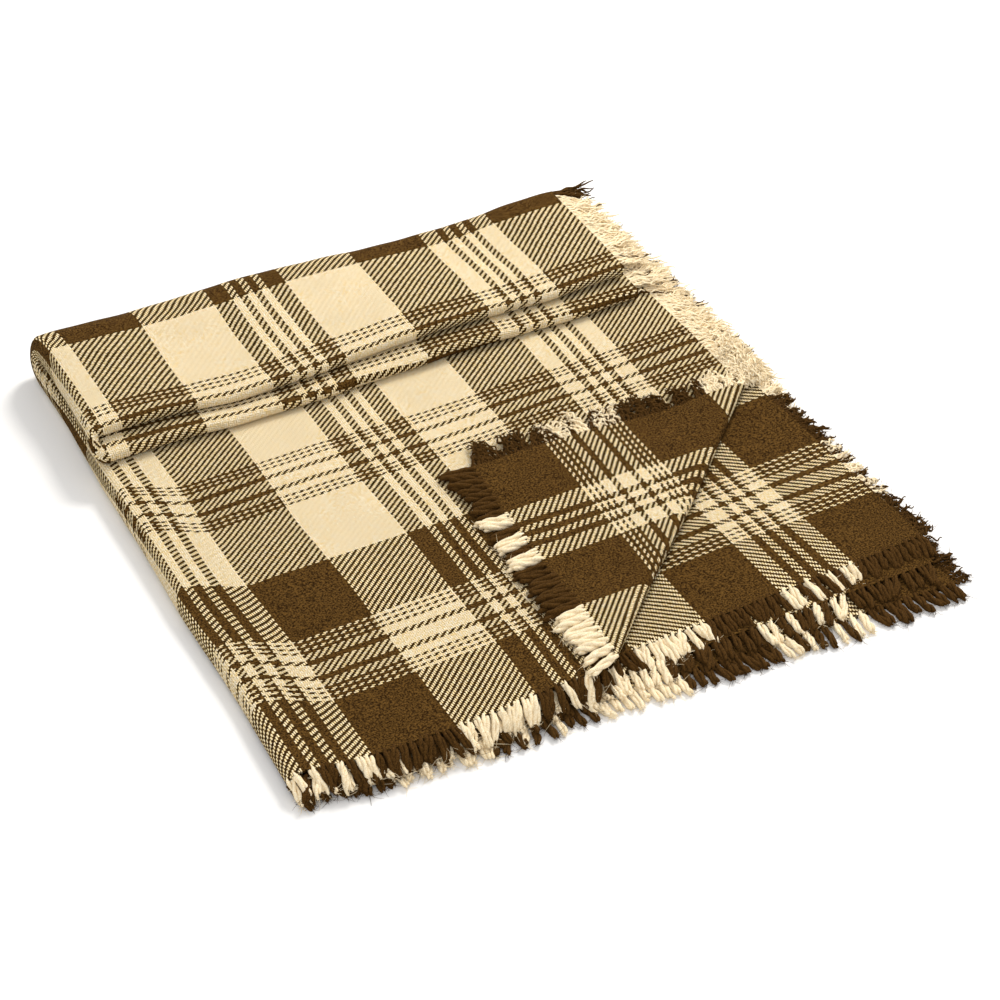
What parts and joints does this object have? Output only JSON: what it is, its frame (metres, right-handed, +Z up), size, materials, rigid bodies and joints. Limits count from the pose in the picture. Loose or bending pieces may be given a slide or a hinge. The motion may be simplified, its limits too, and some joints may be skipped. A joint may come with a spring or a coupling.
{
  "type": "camp blanket",
  "caption": "Folded plaid wool camp blanket with thick tassels on its ends, a fine wavy side fringe, a turned-back corner and a rear leaf that opens on its fold.",
  "frame": {"origin": "centre of the underside of the folded blanket's box, on the surface it rests on", "axes": "+Z up; +X from the folded left edge to the fringed right edge; +Y from the tasselled front to the rear bend"},
  "size_m": [0.6882, 0.7432, 0.048],
  "materials": {
    "plaid_wool": "felted twill-woven wool, brown and cream plaid, matt",
    "tassel_wool": "thick plied wool tassels, brown and cream, matt",
    "fringe_wool": "fine loose wavy wool fringe, brown and cream, matt"
  },
  "bodies": {
    "stack": {"back_fold_a": "plaid_wool", "back_fold_b": "plaid_wool", "back_fold_c": "plaid_wool", "back_fold_d": "plaid_wool", "back_fold_fringe": "fringe_wool", "back_left_corner_inner": "plaid_wool", "back_left_corner_outer": "plaid_wool", "crease_roll": "plaid_wool", "front_fringe_a": "tassel_wool", "front_fringe_b": "tassel_wool", "front_fringe_c": "tassel_wool", "front_fringe_d": "tassel_wool", "left_fold_inner": "plaid_wool", "left_fold_outer": "plaid_wool", "ply_a_main": "plaid_wool", "ply_b_main": "plaid_wool", "ply_c_main": "plaid_wool", "ply_d_main": "plaid_wool", "side_fringe_a": "fringe_wool", "side_fringe_b": "fringe_wool", "side_fringe_c": "fringe_wool", "side_fringe_d": "fringe_wool"},
    "leaf": {"leaf_left_fold_inner": "plaid_wool", "leaf_left_fold_outer": "plaid_wool", "leaf_ply_a": "plaid_wool", "leaf_ply_b": "plaid_wool", "leaf_ply_c": "plaid_wool", "leaf_ply_d": "plaid_wool", "leaf_side_fringe_a": "fringe_wool", "leaf_side_fringe_b": "fringe_wool", "leaf_side_fringe_c": "fringe_wool", "leaf_side_fringe_d": "fringe_wool", "ridge_lower_roll": "plaid_wool", "ridge_upper_roll": "plaid_wool"},
    "flap": {"corner_flap": "plaid_wool", "flap_front_fringe": "tassel_wool", "flap_side_fringe": "fringe_wool"}
  },
  "joints": [
    {"name": "leaf_turn", "type": "hinge", "parent": "stack", "child": "leaf", "pos_m": [0, 0.3477, 0.024], "axis": [-1, 0, 0], "range_deg": [0, 178], "deforming": ["back_fold_a", "back_fold_b", "back_fold_c", "back_fold_d", "back_fold_fringe", "back_left_corner_inner", "back_left_corner_outer"]},
    {"name": "corner_turn", "type": "hinge", "parent": "stack", "child": "flap", "pos_m": [0.12684, -0.1653, 0.024], "axis": [0.7071, 0.7071, 0], "range_deg": [0, 178], "deforming": ["crease_roll"]}
  ]
}
